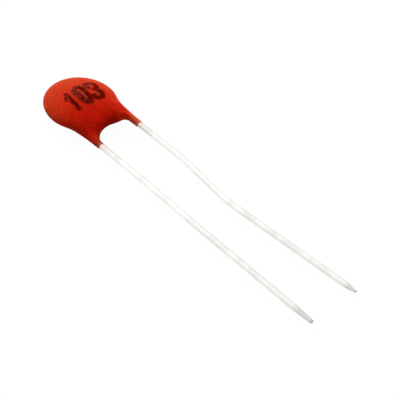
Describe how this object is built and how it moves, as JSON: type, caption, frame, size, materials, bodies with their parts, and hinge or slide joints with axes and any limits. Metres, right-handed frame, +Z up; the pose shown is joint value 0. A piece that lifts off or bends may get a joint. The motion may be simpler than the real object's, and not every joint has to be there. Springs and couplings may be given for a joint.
{
  "type": "ceramic disc capacitor",
  "caption": "Radial-lead capacitor: a flat round disc dipped in orange-red resin, with legs of resin running down on to long bare tinned wire leads.",
  "frame": {"origin": "centre of the bounding box at its bottom, on the surface the part lies on", "axes": "+Y from the cut ends of the leads to the crown of the disc, +Z up out of the marked face, +X from the left lead to the right lead"},
  "size_m": [0.0074, 0.0385, 0.002],
  "materials": {
    "ceramic": "fired, unglazed",
    "silver": "matt fired silver",
    "solder": "satin solder",
    "tinned_wire": "bright tin plating",
    "resin_coat": "dipped resin, satin and slightly mottled"
  },
  "bodies": {
    "root": {"ceramic_disc": "ceramic", "front_electrode": "silver", "back_electrode": "silver", "front_solder": "solder", "back_solder": "solder", "left_lead": "tinned_wire", "right_lead": "tinned_wire", "coating": "resin_coat"}
  },
  "joints": []
}
